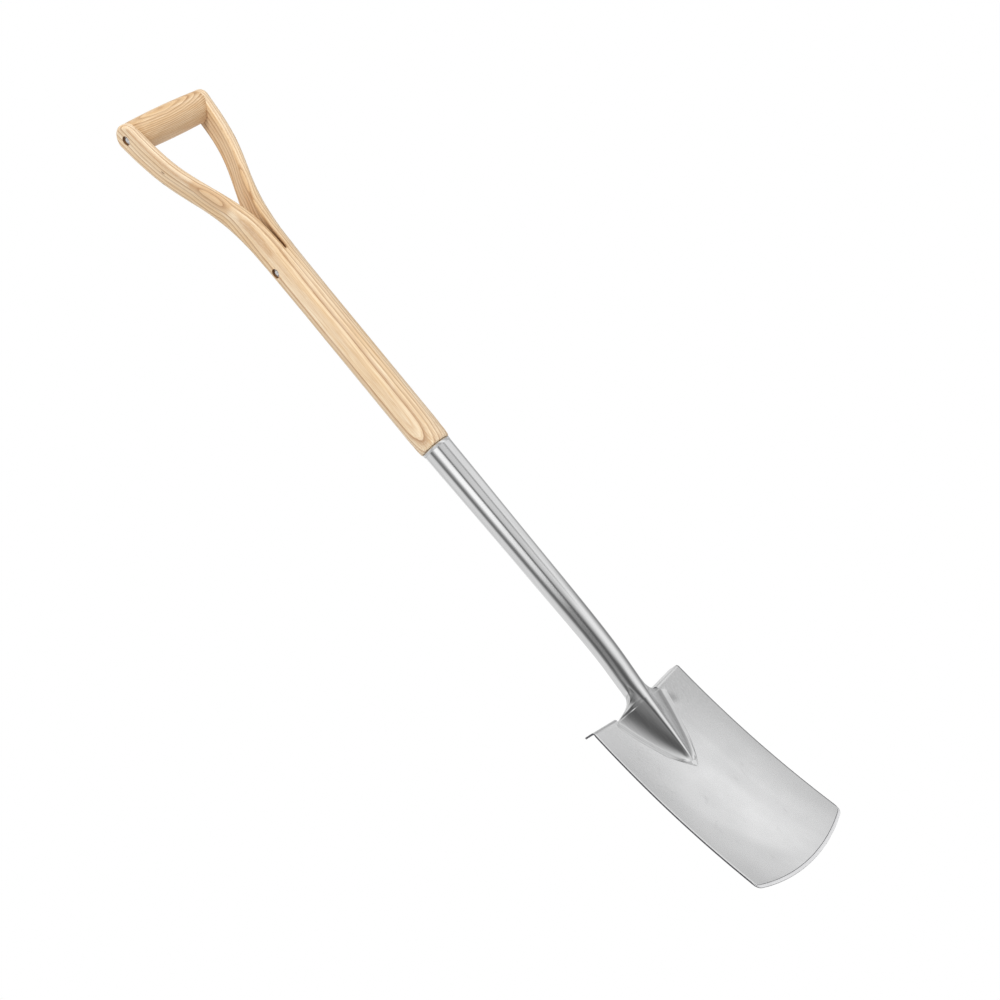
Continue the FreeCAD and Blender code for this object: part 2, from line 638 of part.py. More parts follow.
shaft_cut = doc.addObject("Part::Cut", "shaft_cut")
shaft_cut.Base = shaft
shaft_cut.Tool = screw_room
socket2 = doc.addObject("Part::Cut", "socket")
socket2.Base = socket
socket2.Tool = screw_room
doc.recompute()
shaft.Label = "shaft_blank"
shaft_cut.Label = "shaft"
socket2.Label = "socket"

NODES = [blade, socket2, shaft_cut, grip, grip_rivet, split_rivet, burrs, screw]
doc.recompute()
bad = [o.Name for o in doc.Objects if "Invalid" in o.State or "Error" in o.State]
if bad:
    raise RuntimeError("failed objects: %s" % bad)
os.makedirs("parts", exist_ok=True)
box = None
for o in NODES:
    shp = o.Shape
    if shp.isNull() or not shp.isValid():
        raise RuntimeError("bad shape: %s" % o.Label)
    print(o.Label, "solids", len(shp.Solids), "volume %.1f" % shp.Volume, shp.BoundBox)
    box = shp.BoundBox if box is None else box.united(shp.BoundBox)
print("whole", box)
for o in NODES:
    o.Shape.exportStep("parts/%s.step" % o.Label)
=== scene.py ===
import bpy
import math
import numpy as np
from mathutils import Vector, Matrix


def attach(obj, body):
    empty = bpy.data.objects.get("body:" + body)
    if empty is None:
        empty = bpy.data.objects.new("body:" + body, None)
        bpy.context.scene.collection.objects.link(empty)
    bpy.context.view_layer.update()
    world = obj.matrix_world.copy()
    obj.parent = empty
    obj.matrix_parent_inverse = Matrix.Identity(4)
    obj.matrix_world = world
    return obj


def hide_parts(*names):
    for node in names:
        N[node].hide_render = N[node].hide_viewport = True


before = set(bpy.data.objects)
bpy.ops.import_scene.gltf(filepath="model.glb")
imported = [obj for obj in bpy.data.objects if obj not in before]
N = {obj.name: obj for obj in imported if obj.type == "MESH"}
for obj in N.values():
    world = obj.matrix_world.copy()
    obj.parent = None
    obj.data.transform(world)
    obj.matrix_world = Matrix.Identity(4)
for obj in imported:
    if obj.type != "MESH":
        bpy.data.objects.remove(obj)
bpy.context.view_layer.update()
scene = bpy.context.scene

# Everything is in metres in the row frame: +Z up the shaft, the dished front of
# the blade faces -Y. LIFT moves the design axis to the row frame.
LIFT = np.array([0.0, 0.007745, 0.0052])


# ---------------------------------------------------------------- camera
def make_camera():
    cam = bpy.data.cameras.new("camera")
    ob = bpy.data.objects.new("camera", cam)
    scene.collection.objects.link(ob)
    az, el, roll = math.radians(36.0), math.radians(6.72), math.radians(39.434)
    v = Vector((math.sin(az) * math.cos(el), math.cos(az) * math.cos(el), math.sin(el)))
    r = Vector((math.cos(az), -math.sin(az), 0.0))
    u = r.cross(v)
    right = math.cos(roll) * r - math.sin(roll) * u
    up = math.sin(roll) * r + math.cos(roll) * u
    m = Matrix((right, up, -v)).transposed().to_4x4()
    m.translation = Vector((-1.3065, -1.81786, 0.2182))
    ob.matrix_world = m
    cam.sensor_width = 36.0
    cam.lens = 36.0 * 2174.5 / 1000.0
    cam.clip_end = 100.0
    scene.camera = ob
    return ob


make_camera()
scene.view_settings.view_transform = "Standard"
scene.view_settings.look = "None"
scene.view_settings.exposure = 0.0
scene.view_settings.gamma = 1.0


# ---------------------------------------------------------------- node helpers
class Tree:
    def __init__(self, nt):
        self.nt = nt
        nt.nodes.clear()
        self.x = 0

    def node(self, kind, **kw):
        n = self.nt.nodes.new(kind)
        n.location = (self.x, 0)
        self.x += 180
        for k, v in kw.items():
            setattr(n, k, v)
        return n

    def link(self, a, b):
        self.nt.links.new(a, b)

    def put(self, sock, value):
        if isinstance(value, bpy.types.NodeSocket):
            self.nt.links.new(value, sock)
        else:
            sock.default_value = value

    def math(self, op, a, b=None, c=None, clamp=False):
        n = self.node("ShaderNodeMath", operation=op, use_clamp=clamp)
        self.put(n.inputs[0], a)
        if b is not None:
            self.put(n.inputs[1], b)
        if c is not None:
            self.put(n.inputs[2], c)
        return n.outputs[0]

    def vmath(self, op, a, b=None):
        n = self.node("ShaderNodeVectorMath", operation=op)
        self.put(n.inputs[0], a)
        if b is not None:
            self.put(n.inputs[1], b)
        return n.outputs["Value"] if op in ("DOT_PRODUCT", "LENGTH", "DISTANCE") else n.outputs[0]

    def scaled(self, v, s):
        return self.vmath("MULTIPLY", v, s)

    def noise(self, vec, scale=1.0, detail=2.0, rough=0.5, distort=0.0, dims="3D"):
        n = self.node("ShaderNodeTexNoise", noise_dimensions=dims)
        self.put(n.inputs["Vector"], vec)
        n.inputs["Scale"].default_value = scale
        n.inputs["Detail"].default_value = detail
        n.inputs["Roughness"].default_value = rough
        n.inputs["Distortion"].default_value = distort
        return n.outputs["Fac"]

    def ramp(self, fac, stops, interp="LINEAR"):
        n = self.node("ShaderNodeValToRGB")
        cr = n.color_ramp
        cr.interpolation = interp
        while len(cr.elements) > 1:
            cr.elements.remove(cr.elements[-1])
        cr.elements[0].position = stops[0][0]
        cr.elements[0].color = col(stops[0][1])
        for p, c in stops[1:]:
            cr.elements.new(p).color = col(c)
        self.put(n.inputs[0], fac)
        return n.outputs[0]

    def remap(self, v, a, b, c, d, clamp=True, smooth=False):
        n = self.node("ShaderNodeMapRange")
        n.clamp = clamp
        if smooth:
            n.interpolation_type = "SMOOTHSTEP"
        self.put(n.inputs[0], v)
        for i, k in enumerate((a, b, c, d), start=1):
            n.inputs[i].default_value = k
        return n.outputs[0]

    def mix(self, fac, a, b, blend="MIX"):
        n = self.node("ShaderNodeMix", data_type="RGBA", blend_type=blend)
        n.clamp_factor = True
        self.put(n.inputs[0], fac)
        self.put(n.inputs[6], col(a) if isinstance(a, (tuple, list, float)) else a)
        self.put(n.inputs[7], col(b) if isinstance(b, (tuple, list, float)) else b)
        return n.outputs[2]

    def bump(self, height, strength, distance, normal=None):
        n = self.node("ShaderNodeBump")
        n.inputs["Strength"].default_value = strength
        n.inputs["Distance"].default_value = distance
        self.put(n.inputs["Height"], height)
        if normal is not None:
            self.put(n.inputs["Normal"], normal)
        return n.outputs[0]


def col(c):
    if isinstance(c, (int, float)):
        return (c, c, c, 1.0)
    return tuple(c) + (1.0,) if len(c) == 3 else tuple(c)


def srgb(r, g, b):
    def f(c):
        c /= 255.0
        return c / 12.92 if c <= 0.04045 else ((c + 0.055) / 1.055) ** 2.4
    return (f(r), f(g), f(b), 1.0)


def new_mat(name):
    m = bpy.data.materials.new(name)
    m.use_nodes = True
    t = Tree(m.node_tree)
    bsdf = t.node("ShaderNodeBsdfPrincipled")
    out = t.node("ShaderNodeOutputMaterial")
    t.link(bsdf.outputs[0], out.inputs[0])
    return m, t, bsdf


def give(ob, mat):
    ob.data.materials.clear()
    ob.data.materials.append(mat)


# ---------------------------------------------------------------- light and stage
RR = (0.80902, -0.58779, 0.0)
CC = (-0.58779, -0.80902, 0.0)


def make_world():
    w = bpy.data.worlds.new("soft_studio")
    scene.world = w
    w.use_nodes = True
    t = Tree(w.node_tree)
    tc = t.node("ShaderNodeTexCoord")
    d = tc.outputs["Generated"]
    sep = t.node("ShaderNodeSeparateXYZ")
    t.link(d, sep.inputs[0])
    dz = sep.outputs[2]
    az = t.math("ARCTAN2", t.vmath("DOT_PRODUCT", d, RR), t.vmath("DOT_PRODUCT", d, CC))
    fac = t.math("MULTIPLY_ADD", az, 0.5 / math.pi, 0.5)

    def at(deg):
        return deg / 360.0 + 0.5
    # upright soft boxes and dark flags round the studio, by direction
    band = [(-180, 1.25), (-150, 1.2), (-136, 0.95), (-126, 0.74), (-112, 0.86), (-90, 0.93), (-76, 0.90), (-68, 0.46),
            (-61, 0.22), (-53, 0.20), (-46, 0.36), (-38, 0.72), (-31, 1.15), (-24, 1.45), (-6, 1.45), (0, 1.2),
            (5, 0.40), (10, 0.16), (14, 0.32), (18, 0.74), (26, 0.84), (50, 0.82), (55, 0.62), (60, 0.34),
            (65, 0.60), (70, 1.0), (88, 0.98), (112, 1.0), (124, 0.76), (142, 0.42), (160, 1.0), (180, 1.25)]
    low = t.ramp(fac, [(at(a), e / 2.0) for a, e in band])
    high = [(-180, 0.95), (-120, 0.80), (-90, 0.9), (-50, 0.62), (-15, 0.95), (20, 0.75), (40, 0.60), (52, 0.80),
            (62, 1.10), (73, 1.34), (84, 1.14), (92, 0.90), (106, 0.68), (130, 0.70), (150, 0.80), (180, 0.95)]
    top = t.ramp(fac, [(at(a), e / 2.0) for a, e in high], "EASE")
    rise = t.ramp(dz, [(0.16, 0.62), (0.22, 0.64), (0.26, 0.72), (0.30, 0.92), (0.34, 1.0), (0.38, 1.0), (0.42, 0.97),
                       (0.46, 0.90), (0.49, 0.82), (0.55, 0.84), (0.7, 0.95), (1.0, 0.95)])
    top = t.mix(1.0, top, rise, "MULTIPLY")
    under = [(-180, 0.85), (-110, 0.90), (-80, 0.85), (-70, 0.50), (-58, 0.22), (-46, 0.12), (-34, 0.24), (-24, 0.30),
             (-8, 0.24), (0, 0.13), (8, 0.13), (14, 0.20), (23, 0.45), (35, 0.78), (50, 1.05), (60, 1.15), (75, 1.10),
             (89, 0.90), (106, 0.57), (128, 0.28), (150, 0.40), (180, 0.85)]
    below = t.ramp(fac, [(at(a), e / 2.0) for a, e in under])
    deeper = [(-180, 0.85), (-110, 0.90), (-70, 0.85), (-45, 0.80), (-30, 0.62), (-20, 0.40), (-10, 0.18), (0, 0.12),
              (14, 0.13), (26, 0.22), (38, 0.60), (52, 1.05), (75, 1.10), (89, 0.90), (106, 0.55), (128, 0.30),
              (150, 0.38), (180, 0.85)]
    deep = t.ramp(fac, [(at(a), e / 2.0) for a, e in deeper])
    below = t.mix(t.remap(dz, -0.21, -0.13, 1.0, 0.0, smooth=True), below, deep)
    below = t.mix(t.remap(dz, -0.55, -0.26, 1.0, 0.0, smooth=True), below, (0.42, 0.42, 0.42))
    m1 = t.mix(t.remap(dz, 0.16, 0.25, 0.0, 1.0, smooth=True), low, top)
    m2 = t.mix(t.remap(dz, 0.045, 0.10, 1.0, 0.0, smooth=True), m1, below)
    bg = t.node("ShaderNodeBackground")
    t.link(m2, bg.inputs[0])
    bg.inputs[1].default_value = 2.0
    out = t.node("ShaderNodeOutputWorld")
    t.link(bg.outputs[0], out.inputs[0])


make_world()


def add_mesh(name, verts, faces, smooth=True):
    me = bpy.data.meshes.new(name)
    me.from_pydata([tuple(v) for v in verts], [], faces)
    me.update()
    if smooth:
        me.polygons.foreach_set("use_smooth", [True] * len(me.polygons))
    ob = bpy.data.objects.new(name, me)
    scene.collection.objects.link(ob)
    return ob


def make_stage():
    # pale floor, well under the hanging tool, fading into the white backdrop
    n, z = 96, -0.60
    verts, faces = [(0, 0, z)], []
    rings = [0.4, 0.8, 1.2, 1.6, 2.0]
    for rad in rings:
        verts += [(rad * math.cos(2 * math.pi * i / n), rad * math.sin(2 * math.pi * i / n), z) for i in range(n)]
    for i in range(n):
        faces.append((0, 1 + i, 1 + (i + 1) % n))
    for k in range(len(rings) - 1):
        a, b = 1 + k * n, 1 + (k + 1) * n
        faces += [(a + i, b + i, b + (i + 1) % n, a + (i + 1) % n) for i in range(n)]
    floor = add_mesh("floor", verts, faces)
    m, t, b = new_mat("floor_pale")
    b.inputs["Base Color"].default_value = (0.86, 0.86, 0.86, 1)
    b.inputs["Roughness"].default_value = 0.9
    b.inputs["Specular IOR Level"].default_value = 0.2
    b.inputs["Emission Color"].default_value = (1, 1, 1, 1)
    tc = t.node("ShaderNodeTexCoord")
    rad = t.vmath("LENGTH", t.vmath("MULTIPLY", tc.outputs["Object"], (1, 1, 0)))
    edge = t.remap(rad, 0.9, 1.9, 0.0, 1.0, smooth=True)
    em = t.node("ShaderNodeEmission")
    em.inputs[0].default_value = (1, 1, 1, 1)
    mixs = t.node("ShaderNodeMixShader")
    t.link(edge, mixs.inputs[0])
    t.link(b.outputs[0], mixs.inputs[1])
    t.link(em.outputs[0], mixs.inputs[2])
    out = [x for x in t.nt.nodes if x.type == "OUTPUT_MATERIAL"][0]
    t.link(mixs.outputs[0], out.inputs[0])
    give(floor, m)
    floor.visible_glossy = False
    # white backdrop, seen directly and not in reflections
    bpy.ops.mesh.primitive_ico_sphere_add(subdivisions=4, radius=25.0, location=(0, 0, 0))
    dome = bpy.context.object
    dome.name = "backdrop"
    m, t, b = new_mat("backdrop_white")
    t.nt.nodes.remove(b)
    em = t.node("ShaderNodeEmission")
    em.inputs[0].default_value = (1, 1, 1, 1)
    out = [x for x in t.nt.nodes if x.type == "OUTPUT_MATERIAL"][0]
    t.link(em.outputs[0], out.inputs[0])
    give(dome, m)
    dome.visible_diffuse = False
    dome.visible_glossy = False
    dome.visible_transmission = False
    dome.visible_volume_scatter = False
    dome.visible_shadow = False


make_stage()


def area(name, loc, target, size, power):
    li = bpy.data.lights.new(name, "AREA")
    li.shape = "RECTANGLE"
    li.size, li.size_y = size
    li.energy = power
    ob = bpy.data.objects.new(name, li)
    scene.collection.objects.link(ob)
    ob.location = loc
    ob.rotation_euler = (Vector(target) - Vector(loc)).to_track_quat("-Z", "Y").to_euler()
    ob.visible_glossy = False
    ob.visible_camera = False
    return ob


area("key", (-1.44, -1.98, 2.2), (0, 0, 0.6), (1.1, 1.1), 49)

# ---------------------------------------------------------------- ash
ARM = [(826.0, 0.8, 18.85, 18.85, 0.0), (845.0, 1.3, 18.9, 18.5, 0.0), (860.0, 2.2, 19.3, 18.1, 0.0),
       (875.0, 4.3, 20.5, 17.7, 0.0), (890.0, 7.9, 22.9, 17.1, 0.1), (905.0, 12.9, 26.7, 16.6, 0.3),
       (920.0, 18.8, 31.8, 16.1, 0.7), (935.0, 25.0, 37.8, 15.8, 1.3), (950.0, 30.8, 43.4, 15.6, 1.9),
       (965.0, 35.6, 48.1, 15.6, 2.5), (980.0, 39.1, 51.4, 15.8, 3.0), (995.0, 41.5, 53.8, 16.2, 3.5),
       (1010.0, 43.2, 55.4, 16.7, 4.0), (1024.0, 44.4, 56.5, 17.3, 4.3), (1040.0, 45.5, 57.4, 17.6, 4.4)]
AZ = np.array([a[0] for a in ARM])
AX0 = np.array([a[1] for a in ARM])
AX1 = np.array([a[2] for a in ARM])
AHD = np.array([a[3] for a in ARM])
AYC = np.array([a[4] for a in ARM])
AMID = (AX0 + AX1) / 2
ALEN = np.concatenate([[0], np.cumsum(np.hypot(np.diff(AZ), np.diff(AMID)))]) + 826.0


def coords(ob):
    co = np.empty(len(ob.data.vertices) * 3, np.float32)
    ob.data.vertices.foreach_get("co", co)
    return co.reshape(-1, 3).astype(float)


def grain_attribute(ob, values):
    at = ob.data.attributes.new("grain", "FLOAT_VECTOR", "POINT")
    at.data.foreach_set("vector", np.asarray(values, np.float32).ravel())


def shaft_grain(p):
    """Where each point was in the straight billet, in millimetres: the arms were steamed and bent outwards."""
    q = (p - LIFT) * 1000.0
    z = q[:, 2]
    g = q.copy()
    up = z > 826.0
    zz = np.clip(z, 826.0, 1040.0)
    x0, x1 = np.interp(zz, AZ, AX0), np.interp(zz, AZ, AX1)
    hd, yc = np.interp(zz, AZ, AHD), np.interp(zz, AZ, AYC)
    ax = 0.8 + (np.abs(q[:, 0]) - x0) / (x1 - x0) * 18.05
    g[up, 0] = (np.sign(q[:, 0]) * ax)[up]
    g[up, 1] = ((q[:, 1] - yc) * 18.85 / hd)[up]
    # sections were square to the arm, so points outside the bend lie further along
    slope = np.interp(zz, AZ, np.gradient(AMID, AZ))
    along = np.interp(zz, AZ, ALEN) + (np.abs(q[:, 0]) - (x0 + x1) / 2) * slope / np.sqrt(1 + slope * slope)
    g[up, 2] = (along + np.maximum(z - 1040.0, 0))[up]
    return g


def ash_material(name, normal, first, spacing, drift, seed, shade):
    """Pale ring-porous ash. normal is the direction across the growth rings, first the depth of one ring line,
    drift how the rings wander along the piece as (position mm, shift mm) stops."""
    m, t, b = new_mat(name)
    at = t.node("ShaderNodeAttribute", attribute_name="grain", attribute_type="GEOMETRY")
    p = at.outputs["Vector"]
    sep = t.node("ShaderNodeSeparateXYZ")
    t.link(p, sep.inputs[0])
    s = sep.outputs[2]
    off = t.vmath("ADD", p, (seed * 37.1, seed * 11.7, seed * 53.3))
    # slow wandering of the rings
    warp = t.noise(t.scaled(off, (0.030, 0.030, 0.0065)), 1.0, 3.0, 0.5)
    warp2 = t.noise(t.scaled(off, (0.16, 0.16, 0.020)), 1.0, 2.0, 0.5)
    lo, hi = drift[0][0], drift[-1][0]
    fr = t.remap(s, lo, hi, 0.0, 1.0)
    dmax = max(abs(v) for _, v in drift) or 1.0
    dr = t.ramp(fr, [((a - lo) / (hi - lo), abs(v) / dmax) for a, v in drift], "LINEAR")
    d = t.vmath("DOT_PRODUCT", p, normal)
    d = t.math("MULTIPLY_ADD", dr, -dmax, d)
    d = t.math("ADD", d, t.math("MULTIPLY_ADD", warp, 1.1, -0.55))
    d = t.math("ADD", d, t.math("MULTIPLY_ADD", warp2, 0.45, -0.22))
    ph = t.math("DIVIDE", t.math("SUBTRACT", first, d), spacing)
    ring = t.math("FRACT", ph)
    which = t.math("FLOOR", ph)
    wn = t.node("ShaderNodeTexWhiteNoise", noise_dimensions="1D")
    t.link(t.math("ADD", which, seed * 7.3), wn.inputs["W"])
    rnd = wn.outputs["Value"]
    # sharp early-wood line, fading into pale late wood
    line = t.ramp(ring, [(0.0, 1.0), (0.06, 0.95), (0.14, 0.70), (0.30, 0.42), (0.55, 0.16), (0.9, 0.02), (0.965, 0.25), (1.0, 1.0)])
    first_line = t.math("COMPARE", which, 0.0, 0.5)
    line = t.math("MULTIPLY", line, t.math("MAXIMUM", t.remap(rnd, 0, 1, 0.62, 1.0), first_line))
    lens = t.math("MULTIPLY", t.math("LESS_THAN", which, -0.5), t.ramp(t.remap(s, 892.0, 952.0, 0.0, 1.0), [(0.0, 0.0), (0.1, 1.0), (0.85, 1.0), (0.95, 0.0)]))
    # fine secondary lines inside the rings
    ph2 = t.math("FRACT", t.math("MULTIPLY_ADD", ph, 3.0, t.math("MULTIPLY", warp2, 0.7)))
    fine = t.ramp(ph2, [(0.0, 1.0), (0.12, 0.4), (0.5, 0.0), (0.88, 0.1), (1.0, 1.0)])
    fibre = t.noise(t.scaled(off, (1.5, 1.5, 0.030)), 1.0, 4.0, 0.62)
    fibre2 = t.noise(t.scaled(off, (5.5, 5.5, 0.11)), 1.0, 3.0, 0.6)
    blotch = t.noise(t.scaled(off, (0.085, 0.085, 0.0075)), 1.0, 3.0, 0.55)
    c = t.mix(t.remap(blotch, 0.34, 0.68, 0.0, 1.0, smooth=True), PALE, HONEY)
    c = t.mix(t.math("MULTIPLY", t.remap(fibre, 0.42, 0.68, 0.0, 1.0), 0.74), c, TAN)
    c = t.mix(t.math("MULTIPLY", fine, 0.46), c, TAN)
    c = t.mix(t.math("MULTIPLY", lens, 0.62), c, TAN)
    c = t.mix(t.math("MULTIPLY", line, t.remap(fibre, 0.25, 0.7, 0.72, 1.0)), c, BROWN)
    # open pores: short dark dashes crowded in the early wood
    pore = t.noise(t.scaled(off, (3.6, 3.6, 0.16)), 1.0, 2.0, 0.6)
    pm = t.math("MULTIPLY", t.remap(pore, 0.60, 0.70, 0.0, 1.0), t.ramp(ring, [(0.0, 1.0), (0.25, 0.7), (0.5, 0.25), (0.95, 0.15), (1.0, 1.0)]))
    c = t.mix(t.math("MULTIPLY", pm, 0.38), c, DARK)
    c = t.mix(t.remap(fibre2, 0.3, 0.75, 0.0, 0.22), c, PALE2)
    # a few pin knots
    vor = t.node("ShaderNodeTexVoronoi", feature="F1")
    t.link(t.scaled(off, (0.05, 0.05, 0.028)), vor.inputs["Vector"])
    vor.inputs["Scale"].default_value = 1.0
    keep = t.math("GREATER_THAN", t.vmath("DOT_PRODUCT", vor.outputs["Color"], (1, 0, 0)), 0.72)
    knot = t.math("MULTIPLY", t.remap(vor.outputs["Distance"], 0.035, 0.09, 1.0, 0.0), keep)
    c = t.mix(t.math("MULTIPLY", knot, 0.75), c, DARK)
    # darker tones from the callback: painted shade in the bores, kerf, inner faces and grip ends, and the grip's
    # overall tone
    for m_, tone_ in shade(t, sep):
        c = t.mix(m_, c, t.mix(1.0, c, tone_, "MULTIPLY"))
    t.link(c, b.inputs["Base Color"])
    # satin oil finish, duller in the open early wood
    rough = t.math("ADD", t.remap(fibre, 0.3, 0.7, 0.44, 0.58), t.math("MULTIPLY", line, 0.10))
    t.link(t.math("ADD", rough, t.math("MULTIPLY", pm, 0.12)), b.inputs["Roughness"])
    b.inputs["Specular IOR Level"].default_value = 0.42
    b.inputs["Coat Weight"].default_value = 0.04
    b.inputs["Coat Roughness"].default_value = 0.28
    h = t.math("SUBTRACT", t.math("MULTIPLY", fibre2, 0.35), t.math("ADD", t.math("MULTIPLY", pm, 0.9), t.math("MULTIPLY", line, 0.35)))
    t.link(t.bump(h, 0.35, 0.00012), b.inputs["Normal"])
    return m


PALE = srgb(248, 232, 204)
PALE2 = srgb(252, 241, 220)
HONEY = srgb(236, 208, 166)
TAN = srgb(204, 160, 106)
BROWN = srgb(156, 104, 54)
DARK = srgb(120, 78, 42)

grain_attribute(N["shaft"], shaft_grain(coords(N["shaft"])))
# ring planes face a little to the left of the front
psi = math.radians(-19.7)
nf = (RR[0] * math.sin(psi) + CC[0] * math.cos(psi), RR[1] * math.sin(psi) + CC[1] * math.cos(psi), 0.0)
DRIFT = [(350, 3.8), (560, 3.6), (572, 2.35), (580, 1.3), (590, 0.6), (612, 0.15), (650, 0.0), (790, 0.0), (848, 0.3),
         (868, 1.2), (884, 2.35), (891, 3.1), (898, 3.0), (905, 1.9), (914, 1.3), (925, 1.6), (932, 2.4), (938, 3.4), (956, 3.9), (1070, 4.2)]


def near(t, y, z, r0, r1):
    """1 within r0 mm of an axis along X at design height z and depth y, 0 beyond r1."""
    tc = t.node("ShaderNodeTexCoord")
    v = t.vmath("SUBTRACT", t.scaled(tc.outputs["Object"], (0.0, 1000.0, 1000.0)), (0.0, y + 7.745, z + 5.2))
    return t.remap(t.vmath("LENGTH", v), r0, r1, 1.0, 0.0)


def shaft_painted_shade(t, sep):
    """Painted shade: darker in the bores round the rivets, in the saw kerf between the arms and on the arms' inner
    faces, where shade falls.
    """
    split = t.remap(sep.outputs[2], 824.0, 828.0, 0.0, 1.0)
    inner = t.remap(t.math("ABSOLUTE", sep.outputs[0]), 1.0, 4.5, 1.0, 0.0, smooth=True)
    inner = t.math("MULTIPLY", inner, split)
    kerf = t.math("MULTIPLY", t.remap(t.math("ABSOLUTE", sep.outputs[0]), 0.9, 2.0, 1.0, 0.0), split)
    kerf = t.math("MULTIPLY", kerf, t.remap(sep.outputs[2], 832.0, 872.0, 1.0, 0.0))
    # painted shade colours for the arms' inner faces, the saw kerf and the two rivet bores
    return [(t.math("MULTIPLY", inner, 0.8), (0.83, 0.73, 0.60)), (kerf, (0.34, 0.22, 0.13)),
            (near(t, 4.3, 1021.0, 5.22, 5.6), (0.30, 0.19, 0.11)), (near(t, 0.0, 812.5, 5.22, 5.6), (0.30, 0.19, 0.11))]


def grip_tone_and_painted_shade(t, sep):
    """A little darker and more closely grained than the shaft, with painted shade at the ends, deepest where it meets
    the arms.
    """
    # painted shade towards the grip's ends, in the corners where it meets the arms
    end = t.remap(t.math("ABSOLUTE", t.math("SUBTRACT", sep.outputs[2], 400.0)), 39.0, 45.0, 0.0, 0.6)
    whole = t.remap(end, -1.0, 0.0, 0.0, 0.8)
    return [(whole, (0.87, 0.79, 0.69)), (end, (0.80, 0.70, 0.58))]


shaft_ash = ash_material("shaft_ash", nf, 16.5, 3.6, DRIFT, 1.0, shaft_painted_shade)
give(N["shaft"], shaft_ash)

g = (coords(N["grip"]) - LIFT) * 1000.0
grain_attribute(N["grip"], np.stack([g[:, 1] - 4.3, g[:, 2] - 1021.0, g[:, 0] + 400.0], 1))
grip_ash = ash_material("grip_ash", (-0.80, 0.60, 0.0), 15.2, 1.7,
                        [(340, 1.5), (372, 0.6), (395, 0.0), (418, 1.2), (432, 2.6), (445, 4.2), (460, 6.0)], 5.0, grip_tone_and_painted_shade)
give(N["grip"], grip_ash)


# ---------------------------------------------------------------- steel
def steel_material(name, base, rough, spread, streak, bump=0.0, seed=0.0, edge=None):
    m, t, b = new_mat(name)
    tc = t.node("ShaderNodeTexCoord")
    p = t.scaled(t.vmath("ADD", tc.outputs["Object"], (seed, seed * 0.7, seed * 0.3)), (1000.0, 1000.0, 1000.0))
    line = t.noise(t.scaled(p, streak), 1.0, 4.0, 0.65)
    cloud = t.noise(t.scaled(p, (0.03, 0.03, 0.02)), 1.0, 4.0, 0.6)
    tint = t.mix(t.remap(line, 0.3, 0.7, 0.0, 1.0), tuple(0.93 * c for c in base), tuple(min(1.0, 1.04 * c) for c in base))
    tint = t.mix(t.remap(cloud, 0.35, 0.7, 0.0, 0.35), tint, tuple(0.90 * c for c in base))
    if edge:
        # painted shade and painted highlight on the sheet: a dark line along the blade's right edge and a pale line
        # just inside its left edge, standing in for reflections along the edges
        er, el = edge(t)
        tint = t.mix(1.0, tint, t.ramp(t.remap(er, 0.0, 4.0, 0.0, 1.0), [(0.0, 0.30), (0.18, 0.36), (0.30, 1.0), (1.0, 1.0)]), "MULTIPLY")
        rim = t.ramp(t.remap(el, 0.0, 4.0, 0.0, 1.0), [(0.0, 0.0), (0.08, 0.9), (0.36, 0.9), (0.50, 0.0), (1.0, 0.0)])
        tint = t.mix(rim, tint, (0.95, 0.95, 0.95))
        tc2 = t.node("ShaderNodeTexCoord")
        # soft rolling and polishing marks across the sheet
        roll = t.noise(t.scaled(tc2.outputs["Object"], (9.0, 9.0, 4.0)), 1.0, 4.0, 0.55, 0.6)
        tint = t.mix(t.remap(roll, 0.40, 0.66, 0.0, 0.34, smooth=True), tint, (0.50, 0.50, 0.505))
        fleck = t.noise(t.scaled(tc2.outputs["Object"], (60.0, 60.0, 26.0)), 1.0, 3.0, 0.6, 1.2)
        tint = t.mix(t.remap(fleck, 0.60, 0.74, 0.0, 0.22, smooth=True), tint, (0.42, 0.42, 0.425))
        # painted shade: a dark patch on the sheet where the press mark dips
        q = t.vmath("SUBTRACT", t.scaled(tc2.outputs["Object"], (1000.0, 0.0, 1000.0)), (37.0, 0.0, 211.0))
        press_mark_shade = t.remap(t.vmath("LENGTH", t.scaled(q, (0.12, 1.0, 0.085))), 0.0, 1.0, 0.42, 0.0, smooth=True)
        tint = t.mix(press_mark_shade, tint, (0.22, 0.22, 0.22))
    t.link(tint, b.inputs["Base Color"])
    b.inputs["Metallic"].default_value = 1.0
    r = t.math("ADD", t.remap(line, 0.25, 0.75, rough - spread, rough + spread), t.remap(cloud, 0.3, 0.7, -spread * 0.6, spread * 0.6))
    t.link(r, b.inputs["Roughness"])
    if bump:
        t.link(t.bump(line, bump, 0.00004), b.inputs["Normal"])
    return m


def edge_lines(t):
    """Distances in mm from the blade's right and left side edges, on the sheet."""
    tc = t.node("ShaderNodeTexCoord")
    sep = t.node("ShaderNodeSeparateXYZ")
    t.link(t.scaled(tc.outputs["Object"], (1000.0, 1000.0, 1000.0)), sep.inputs[0])
    half = t.math("MULTIPLY_ADD", sep.outputs[2], -0.008983, 70.55)
    return t.math("SUBTRACT", half, sep.outputs[0]), t.math("ADD", half, sep.outputs[0])


blade_steel = steel_material("blade_steel", (0.72, 0.722, 0.725), 0.26, 0.05, (1.6, 1.6, 0.04), 0.25, edge=edge_lines)
socket_steel = steel_material("socket_steel", (0.72, 0.722, 0.725), 0.13, 0.03, (0.5, 0.5, 0.02), 0.0, 3.0)
